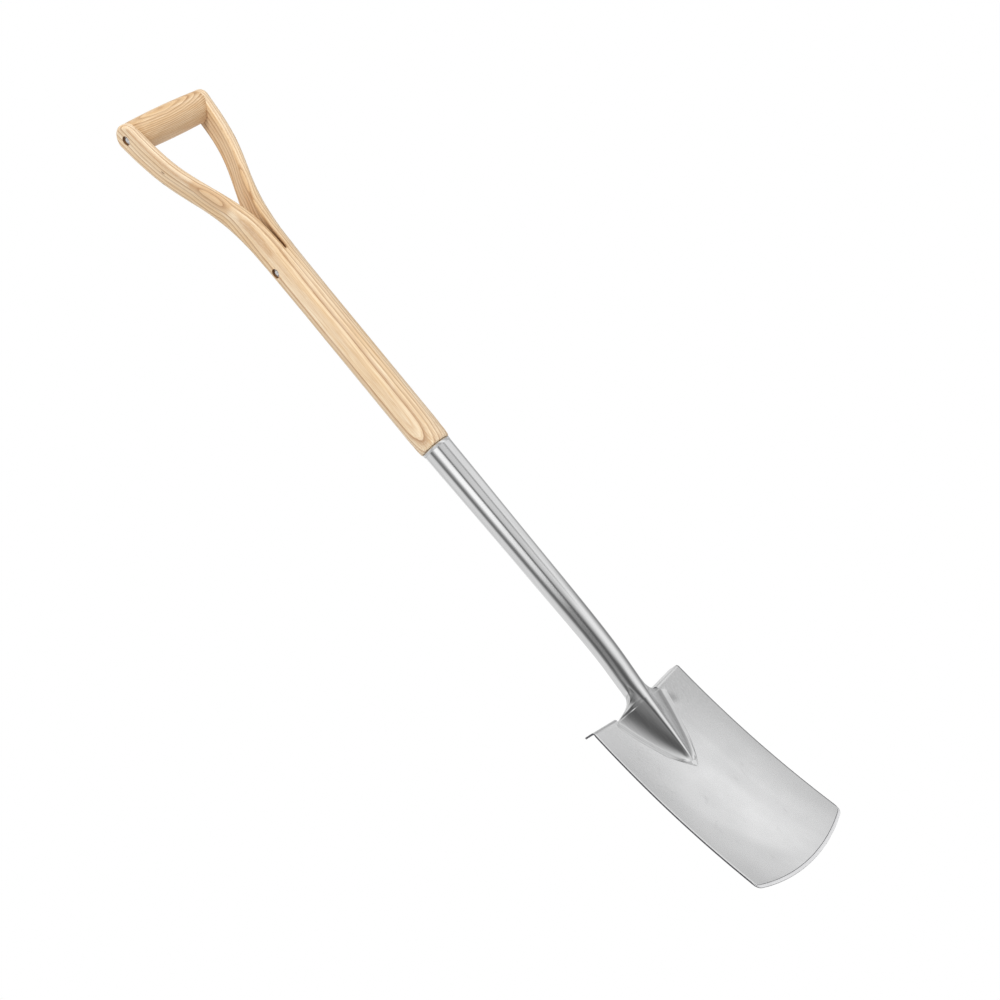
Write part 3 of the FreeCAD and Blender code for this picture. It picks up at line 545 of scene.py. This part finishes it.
# painted shade: near-black steel for the sheet's cut faces and a thin line along the top of the ground band, where the
# real steel only looks dark by reflection
painted_dark_edge_steel = steel_material("painted_dark_edge_steel", (0.13, 0.13, 0.14), 0.42, 0.08, (0.3, 0.3, 3.0), 0.4, 2.0)
ground_steel = steel_material("ground_steel", (0.80, 0.80, 0.81), 0.36, 0.06, (0.05, 3.0, 6.0), 0.4, 7.0)
fixing_steel = steel_material("fixing_steel", (0.74, 0.74, 0.74), 0.24, 0.05, (2.0, 2.0, 2.0), 0.1, 5.0)
for n in ("grip_rivet", "split_rivet", "rivet_burrs", "socket_screw"):
    give(N[n], fixing_steel)

# ---------------------------------------------------------------- blade and socket as fine meshes
def surf(x, z):
    """Front of the dished blade, design millimetres."""
    th = np.arcsin((327.1 - z) / 850.0)
    return -828.5 + 850.0 * np.cos(th) - (330.4 - np.sqrt(330.4 ** 2 - np.asarray(x, float) ** 2))


def surf_normal(x, z):
    """Unit normal of the front, pointing forwards."""
    e = 0.5
    gx = (surf(x + e, z) - surf(x - e, z)) / (2 * e)
    gz = (surf(x, z + e) - surf(x, z - e)) / (2 * e)
    n = np.stack([gx, -np.ones_like(gx), gz], -1)
    return n / np.linalg.norm(n, axis=-1, keepdims=True)


def pchip(xs, ys):
    """Smooth curve through the points that doesn't overshoot."""
    xs, ys = np.asarray(xs, float), np.asarray(ys, float)
    if xs[0] > xs[-1]:
        xs, ys = xs[::-1], ys[::-1]
    h = np.diff(xs)
    d = np.diff(ys) / h
    m = np.zeros(len(xs))
    for i in range(1, len(xs) - 1):
        if d[i - 1] * d[i] > 0:
            w1, w2 = 2 * h[i] + h[i - 1], h[i] + 2 * h[i - 1]
            m[i] = (w1 + w2) / (w1 / d[i - 1] + w2 / d[i])
    m[0], m[-1] = d[0], d[-1]

    def f(x):
        x = np.clip(np.asarray(x, float), xs[0], xs[-1])
        i = np.clip(np.searchsorted(xs, x, side="right") - 1, 0, len(h) - 1)
        t = (x - xs[i]) / h[i]
        return ((1 + 2 * t) * (1 - t) ** 2 * ys[i] + t * (1 - t) ** 2 * h[i] * m[i]
                + t * t * (3 - 2 * t) * ys[i + 1] + t * t * (t - 1) * h[i] * m[i + 1])
    return f


def to_row(p):
    return (np.asarray(p, float) + LIFT * 1000.0) / 1000.0


HALF_TOP, HALF_LOW, TOP_Z, CORNER_Z, EDGE_Z, CORNER_R = 68.5, 70.4, 223.0, 11.5, -5.2, 8.0
GAP, RISE, FOLD_R, THICK, DEEP = 33.0, 3.6, 4.0, 2.0, 18.5


def top_z(x):
    return TOP_Z + RISE / (HALF_TOP - GAP) * np.maximum(np.abs(x) - GAP, 0.0)


def lower_outline(n):
    """Points from one side line round the corner, along the bowed edge and up to the other side line."""
    sag = CORNER_Z - EDGE_Z
    rb = (HALF_LOW ** 2 + sag ** 2) / (2 * sag)
    cz = EDGE_Z + rb
    dx, dz = HALF_TOP - HALF_LOW, TOP_Z - CORNER_Z
    ln = math.hypot(dx, dz)
    ux, uz = dx / ln, dz / ln
    nx, nz = -uz, ux
    a, b = 0.0, 60.0
    for _ in range(60):
        mid = (a + b) / 2
        px, pz = HALF_LOW + ux * mid + nx * CORNER_R, CORNER_Z + uz * mid + nz * CORNER_R
        if math.hypot(px, pz - cz) > rb - CORNER_R:
            a = mid
        else:
            b = mid
    a0 = math.atan2(-nz, -nx)
    a1 = math.atan2(pz - cz, px)
    arc = [(px + CORNER_R * math.cos(t), pz + CORNER_R * math.sin(t)) for t in np.linspace(a0, a1, 12)]
    edge = [(rb * math.cos(t), cz + rb * math.sin(t)) for t in np.linspace(a1, -math.pi / 2, 60)][1:]
    right = np.array(arc + edge)
    whole = np.vstack([right, (right * [-1, 1])[::-1][1:]])
    seg = np.concatenate([[0], np.cumsum(np.linalg.norm(np.diff(whole, axis=0), axis=1))])
    return whole, seg


def dent(x, z):
    """Faint press mark beside the tongue, and the slight unevenness of a hand-finished sheet, in millimetres."""
    cx, cz, rad = 42.0, 187.0, 26.0
    ang = np.arctan2(z - cz, x - cx)
    ring = np.hypot(x - cx, z - cz) - rad
    w = np.exp(-((ang - 2.7) / 0.42) ** 2)
    mark = 0.34 * np.exp(-(ring / 2.4) ** 2) * w + 0.38 * np.exp(-((x - 38.0) / 4.5) ** 2 - ((z - 205.0) / 5.5) ** 2)
    wave = 0.035 * np.sin(x * 0.11 + 1.3) * np.sin(z * 0.067 + 0.4) + 0.02 * np.sin(x * 0.23 + z * 0.05)
    return mark + wave


def blade_piece():
    whole, seg = lower_outline(0)
    total = seg[-1]
    xt = np.concatenate([np.linspace(HALF_TOP, GAP, 17), np.linspace(GAP, -GAP, 31)[1:], np.linspace(-GAP, -HALF_TOP, 17)[1:]])
    # pair each top column with a point of the lower outline
    f = np.interp(np.linspace(0, 1, len(xt)), np.linspace(0, 1, len(xt)), (HALF_TOP - xt) / (2 * HALF_TOP))
    k = 0.5 - 0.5 * np.cos(np.pi * f)
    pos = (0.75 * f + 0.25 * k) * total
    xb, zb = np.interp(pos, seg, whole[:, 0]), np.interp(pos, seg, whole[:, 1])
    zt = top_z(xt)
    nc = len(xt)
    bevel = 2.8
    vs = [0.0, 0.5, 1.0, 1.0025] + list(1.0 + (np.linspace(0, 1, 70)[1:] ** 1.0) * 1.0)
    front, back, tag = [], [], []
    for j, v in enumerate(vs):
        if v <= 1.0:
            d = v * bevel    # the ground band along the cutting edge
            ln = np.hypot(xt - xb, zt - zb)
            fr = d / ln
        else:
            ln = np.hypot(xt - xb, zt - zb)
            fr = bevel / ln + (v - 1.0) * (1 - bevel / ln)
        x, z = xb + (xt - xb) * fr, zb + (zt - zb) * fr
        y = surf(x, z) + dent(x, z)
        nrm = surf_normal(x, z)
        p = np.stack([x, y, z], -1)
        cut = np.interp(v, [0.0, 1.0], [1.15, 0.0])[..., None] if v <= 1.0 else 0.0
        front.append(p - nrm * cut)
        back.append(np.stack([x, surf(x, z), z], -1) - nrm * THICK)
    nmain = len(vs)
    # treads: bend and flange, only outside the middle gap
    sl = np.tan(np.arcsin((327.1 - zt) / 850.0))
    y0 = surf(xt, zt)
    cy = y0 + FOLD_R
    steps = [("a", t) for t in np.linspace(90, 4, 10)[1:]] + [("f", t) for t in np.linspace(0, DEEP - FOLD_R, 8)[1:]]
    for kind, t in steps:
        if kind == "a":
            a = math.radians(t)
            fo = (cy - FOLD_R * math.sin(a), zt + FOLD_R * math.cos(a))
            fi = (cy - (FOLD_R - THICK) * math.sin(a), zt + (FOLD_R - THICK) * math.cos(a))
        else:
            a = math.radians(4.0)
            fo = (cy - FOLD_R * math.sin(a) + t, zt + FOLD_R * math.cos(a) + t * math.tan(a))
            fi = (cy - (FOLD_R - THICK) * math.sin(a) + t, zt + (FOLD_R - THICK) * math.cos(a) + t * math.tan(a))
        front.append(np.stack([xt, fo[0], fo[1]], -1))
        back.append(np.stack([xt, fi[0], fi[1]], -1))
    # back of the sheet eases into the inner side of the bend
    front, back = np.array(front), np.array(back)
    nr = len(front)
    verts = np.concatenate([front.reshape(-1, 3), back.reshape(-1, 3)])
    off = nr * nc
    cells = set()
    for j in range(nr - 1):
        for i in range(nc - 1):
            if j < nmain - 1 or min(abs(xt[i]), abs(xt[i + 1])) >= GAP - 0.01:
                cells.add((i, j))
    faces, mats = [], []

    def vid(i, j, side):
        return side * off + j * nc + i
    for i, j in sorted(cells):
        faces.append((vid(i, j, 0), vid(i, j + 1, 0), vid(i + 1, j + 1, 0), vid(i + 1, j, 0)))
        # material 1 paints the thin line above the ground band and the cut faces near-black as painted shade
        mats.append(2 if j < 2 else (1 if j == 2 and min(abs(xb[i]), abs(xb[i + 1])) < HALF_LOW - 2.5 else 0))
        faces.append((vid(i, j, 1), vid(i + 1, j, 1), vid(i + 1, j + 1, 1), vid(i, j + 1, 1)))
        mats.append(0)
        for di, dj, a, b in ((-1, 0, (i, j), (i, j + 1)), (1, 0, (i + 1, j + 1), (i + 1, j)),
                             (0, -1, (i + 1, j), (i, j)), (0, 1, (i, j + 1), (i + 1, j + 1))):
            if (i + di, j + dj) not in cells:
                faces.append((vid(*a, 0), vid(*a, 1), vid(*b, 1), vid(*b, 0))[::-1])
                mats.append(1)
    used = sorted({v for f_ in faces for v in f_})
    new = {v: k_ for k_, v in enumerate(used)}
    faces = [tuple(new[v] for v in f_) for f_ in faces]
    ob = add_mesh("blade_sheet", to_row(verts[used]), faces)
    ob.data.polygons.foreach_set("material_index", mats)
    return ob


# (z, crest y, ridge radius, ridge half angle, wing x, wing y, bulge) below the round tube
LOW = [(240.0, -10.45, 11.5, 49.8, 12.0, -2.7, 0.3), (236.0, -10.1, 10.8, 49.4, 12.8, -1.8, 0.1),
       (233.0, -9.85, 10.3, 49.0, 14.1, -0.7, -0.1), (230.5, -9.65, 9.9, 48.5, 16.3, 1.1, -0.4),
       (228.4, -9.5, 9.6, 48.0, 19.4, 3.5, -0.7), (226.6, -9.37, 9.3, 47.4, 23.1, 6.1, -1.1),
       (225.2, -9.27, 9.1, 46.8, 27.1, 8.6, -1.4), (224.0, -9.17, 8.8, 46.2, 30.8, 10.5, -1.7),
       (223.0, -9.05, 8.5, 45.6, 33.2, 11.6, -1.9), (221.5, -8.9, 8.2, 45.0, 34.2, None, -1.9),
       (212.0, -8.1, 7.2, 45.0, 32.0, None, -1.8), (199.0, -6.8, 6.1, 45.0, 28.0, None, -1.5),
       (182.0, -5.1, 4.9, 45.0, 21.8, None, -1.1), (165.0, -2.9, 3.7, 45.0, 15.2, None, -0.7),
       (150.0, -0.4, 2.3, 45.0, 8.4, None, -0.3), (141.0, 2.9, 0.9, 45.0, 3.0, None, -0.05)]
TUBE = [(564.0, 0.0, 16.9), (500.0, -1.05, 16.1), (440.0, -2.0, 15.2), (380.0, -2.95, 14.4), (330.0, -3.6, 13.65),
        (300.0, -3.3, 13.2), (275.0, -1.9, 12.85), (255.0, 0.4, 12.65), (246.0, 1.4, 12.5)]


WING = 70.0        # where the wing's edge starts on the round tube, degrees from the front


def smooth_table(xs, ys):
    """Natural cubic spline through the points."""
    xs, ys = np.asarray(xs, float)[::-1], np.asarray(ys, float)[::-1]
    n = len(xs)
    h = np.diff(xs)
    A = np.eye(n)
    r = np.zeros(n)
    for i in range(1, n - 1):
        A[i, i - 1], A[i, i], A[i, i + 1] = h[i - 1], 2 * (h[i - 1] + h[i]), h[i]
        r[i] = 6 * ((ys[i + 1] - ys[i]) / h[i] - (ys[i] - ys[i - 1]) / h[i - 1])
    m = np.linalg.solve(A, r)

    def f(x):
        i = int(np.clip(np.searchsorted(xs, x, side="right") - 1, 0, n - 2))
        a, b = xs[i + 1] - x, x - xs[i]
        return (m[i] * a ** 3 + m[i + 1] * b ** 3) / (6 * h[i]) + (ys[i] / h[i] - m[i] * h[i] / 6) * a + (ys[i + 1] / h[i] - m[i + 1] * h[i] / 6) * b
    return f


def sagged(a, b, bulge, fs):
    """Points of an arc from a to b that stands bulge to the right of the chord."""
    a, b = np.array(a, float), np.array(b, float)
    c = np.linalg.norm(b - a)
    t = (b - a) / c
    n = np.array([t[1], -t[0]])
    if abs(bulge) < 1e-3:
        return [a + (b - a) * f for f in fs]
    al = 2 * math.atan(2 * abs(bulge) / c)
    R = c / (2 * math.sin(al))
    s = 1.0 if bulge > 0 else -1.0
    mid = (a + b) / 2
    out = []
    for f in fs:
        w = (2 * f - 1) * al
        out.append(mid + t * R * math.sin(w) + n * s * (R * math.cos(w) - R * math.cos(al)))
    return out


def socket_piece():
    yc = smooth_table([r[0] for r in TUBE], [r[1] for r in TUBE])
    rr = smooth_table([r[0] for r in TUBE], [r[2] for r in TUBE])
    rows = []
    for z, y, r in TUBE[-3:]:
        wx, wy = r * math.sin(math.radians(WING)), y - r * math.cos(math.radians(WING))
        c0 = (r * math.sin(math.radians(50)), y - r * math.cos(math.radians(50)))
        el = math.hypot(wx - c0[0], wy - c0[1])
        rows.append((z, y - r, r, 50.0, wx, wy, r - math.sqrt(r * r - el * el / 4)))
    for z, cr, rc, ph, wx, wy, bu in LOW:
        rows.append((z, cr, rc, ph, wx, surf(wx, z) - 1.25 if wy is None else wy, bu))
    zs = [r[0] for r in rows]
    F = [pchip(zs, [r[k] for r in rows]) for k in range(1, 7)]
    zlist = list(np.linspace(564.0, 258.0, 70)) + list(np.linspace(254.5, 238.0, 9)) + list(np.linspace(236.5, 230.0, 8)) \
        + list(np.linspace(229.4, 221.6, 22)) + list(np.linspace(220.4, 141.5, 64))
    na, npan = 13, 15
    fa = np.linspace(0, 1, na)
    fp = np.linspace(0, 1, npan)[1:]
    grid, mats_row = [], []
    for z in zlist:
        if z >= 246.0:
            y, r = yc(z), rr(z)
            half = [(r * math.sin(t), y - r * math.cos(t)) for t in math.radians(50) * fa]
            half += [(r * math.sin(t), y - r * math.cos(t)) for t in math.radians(50) + math.radians(WING - 50.0) * fp]
        else:
            cr, rc, ph, wx, wy, bu = (float(f(z)) for f in F)
            cy = cr + rc
            half = [(rc * math.sin(t), cy - rc * math.cos(t)) for t in math.radians(ph) * fa]
            half += [tuple(q) for q in sagged(half[-1], (wx, wy), bu, fp)]
        grid.append(half)
    grid = np.array(grid)                       # rows, columns, (x, y)
    zz = np.array(zlist)
    # soft fillet from the wing's edge down onto the blade, or a rolled edge above it
    wing = grid[:, -1]
    wz = np.gradient(wing[:, 0], zz)
    extra = []
    nz_ = np.sqrt(1 + wz ** 2)
    ox, oz = 1 / nz_, -wz / nz_                 # outwards, square to the boundary
    for f, dist, lift in ((0.12, 0.5, 0.06), (0.25, 0.95, 0.17), (0.38, 1.35, 0.41), (0.5, 1.9, 0.51), (0.63, 2.8, 0.65),
                          (0.76, 3.4, 0.99), (0.88, 4.0, 1.19), (1.0, 4.8, 1.25)):
        slim = np.clip((zz - 136.0) / 30.0, 0.12, 1.0)
        x = wing[:, 0] + ox * dist * slim
        z = zz + oz * dist * slim
        on = surf(x, z)
        base = surf(wing[:, 0], zz)
        h = (base - wing[:, 1]) * (1 - lift / 1.25)
        down = on - h
        # above the sheet's top edge, or on the round tube, the edge only turns back
        rolled = np.stack([wing[:, 0] + 0.3 * math.sin(f * math.pi / 2), wing[:, 1] + 1.6 * f], -1)
        w = np.clip((222.6 - zz) / 1.5, 0, 1)[:, None]
        rz = np.where(w[:, 0] > 0, z * w[:, 0] + zz * (1 - w[:, 0]), zz)
        xy = np.stack([x, down], -1) * w + rolled * (1 - w)
        round_ = zz >= 240.0
        extra.append(np.concatenate([xy, rz[:, None]], 1))
        extra[-1][round_] = np.nan
    nrow = len(zlist)
    # right half columns: grid then extra; mirrored for the left
    cols = [np.concatenate([grid[:, k], zz[:, None]], 1) for k in range(grid.shape[1])]
    for e in extra:
        e2 = e.copy()
        bad = np.isnan(e2[:, 0])
        e2[bad] = cols[grid.shape[1] - 1][bad]
        # fade in the rolled edge where the tube starts to open
        k = np.clip((240.0 - zz) / 8.0, 0, 1)[:, None]
        e2 = cols[grid.shape[1] - 1] * (1 - k) + e2 * k
        cols.append(e2)
    right = np.array(cols)                      # columns, rows, xyz
    left = right[1:][::-1] * np.array([-1, 1, 1])
    allc = np.concatenate([left, right])        # from the left edge to the right edge
    ncol = len(allc)
    verts = allc.transpose(1, 0, 2).reshape(-1, 3)
    faces = []
    for j in range(nrow - 1):
        for i in range(ncol - 1):
            faces.append((j * ncol + i, (j + 1) * ncol + i, (j + 1) * ncol + i + 1, j * ncol + i + 1))
    # tip: close the last row onto a point on the blade
    tip = len(verts)
    verts = np.vstack([verts, [[0.0, surf(0, 136.5), 136.5]]])
    base = (nrow - 1) * ncol
    for i in range(ncol - 1):
        faces.append((base + i, tip, base + i + 1))
    # back of the tube, down to the top edge of the blade
    nb = 35
    back_rows = [j for j, z in enumerate(zlist) if z >= 222.0]
    bid = {}
    more = []
    for j in back_rows:
        z = zlist[j]
        e = allc[-1][j]
        y, r = (yc(z), rr(z)) if z >= 246.0 else (yc(246.0) + (246.0 - z) * 0.09, rr(246.0) - (246.0 - z) * 0.02)
        k = min(1.0, max(0.0, (246.0 - z) / 20.0))
        k = k * k * (3 - 2 * k)
        for i in range(nb):
            f = (i + 1) / (nb + 1)
            t = math.radians(WING + (360.0 - 2 * WING) * f)
            px, py = r * math.sin(t), y - r * math.cos(t)
            if z < 246.0:
                # the round back eases into a squared-off flare, both starting at the wing's edge
                ease = math.exp(-(min(f, 1 - f) / 0.11) ** 2)
                a0 = math.radians(WING)
                px += math.copysign(e[0] - r * math.sin(a0), px) * ease
                py += (e[1] - (y - r * math.cos(a0))) * ease
                c, sn = math.cos(math.pi * f), math.sin(math.pi * f)
                fl = e[0] * math.copysign(abs(c) ** 0.5, c)
                fy = e[1] + (15.4 - e[1]) * sn ** 0.8
                px, py = px * (1 - k) + fl * k, py * (1 - k) + fy * k
            bid[(i, j)] = len(verts) + len(more)
            more.append((px, py, z))
    verts = np.vstack([verts, more])
    for a, b in zip(back_rows, back_rows[1:]):
        chain_a = [a * ncol + ncol - 1] + [bid[(i, a)] for i in range(nb)] + [a * ncol]
        chain_b = [b * ncol + ncol - 1] + [bid[(i, b)] for i in range(nb)] + [b * ncol]
        for i in range(len(chain_a) - 1):
            faces.append((chain_a[i], chain_b[i], chain_b[i + 1], chain_a[i + 1]))
    # rolled rim: over the edge and down inside
    ring = [0 * ncol + i for i in range(ncol)] + [bid[(i, 0)] for i in range(nb)]
    prev = ring
    for dr, dz in ((-0.18, 0.0), (-1.32, 0.0), (-1.5, -0.2), (-1.5, -6.0)):
        cur = []
        extra_v = []
        for v in ring:
            x, y, z = verts[v]
            rad = math.hypot(x, y)
            s = (rad + dr) / rad
            cur.append(len(verts) + len(extra_v))
            extra_v.append((x * s, y * s, z + dz + (0.18 if dr != -0.0 and dz == 0.0 else 0.0) * 0))
        verts = np.vstack([verts, extra_v])
        for i in range(len(ring)):
            k = (i + 1) % len(ring)
            faces.append((prev[i], prev[k], cur[k], cur[i]))
        prev = cur
    ob = add_mesh("socket_shell", to_row(verts), faces)
    return ob


blade_ob = blade_piece()
socket_ob = socket_piece()
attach(blade_ob, "root")
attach(socket_ob, "root")
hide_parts("blade")
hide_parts("socket")


def clean(ob, bevel=0.0, limit=35.0, merge=1e-6):
    """Merges doubled points, points the faces outwards, and eases the hard edges."""
    import bmesh
    bm = bmesh.new()
    bm.from_mesh(ob.data)
    bmesh.ops.remove_doubles(bm, verts=bm.verts, dist=merge)
    bmesh.ops.dissolve_degenerate(bm, edges=bm.edges, dist=1e-7)
    bmesh.ops.recalc_face_normals(bm, faces=bm.faces)
    bm.to_mesh(ob.data)
    bm.free()
    if bevel:
        m = ob.modifiers.new("eased_edges", "BEVEL")
        m.width = bevel
        m.segments = 2
        m.limit_method = "ANGLE"
        m.angle_limit = math.radians(limit)
        m.harden_normals = True
        m.use_clamp_overlap = True


clean(blade_ob, 0.0004, 40.0)
clean(socket_ob)
give(socket_ob, socket_steel)
for k, m in enumerate((blade_steel, painted_dark_edge_steel, ground_steel)):
    blade_ob.data.materials.append(m)
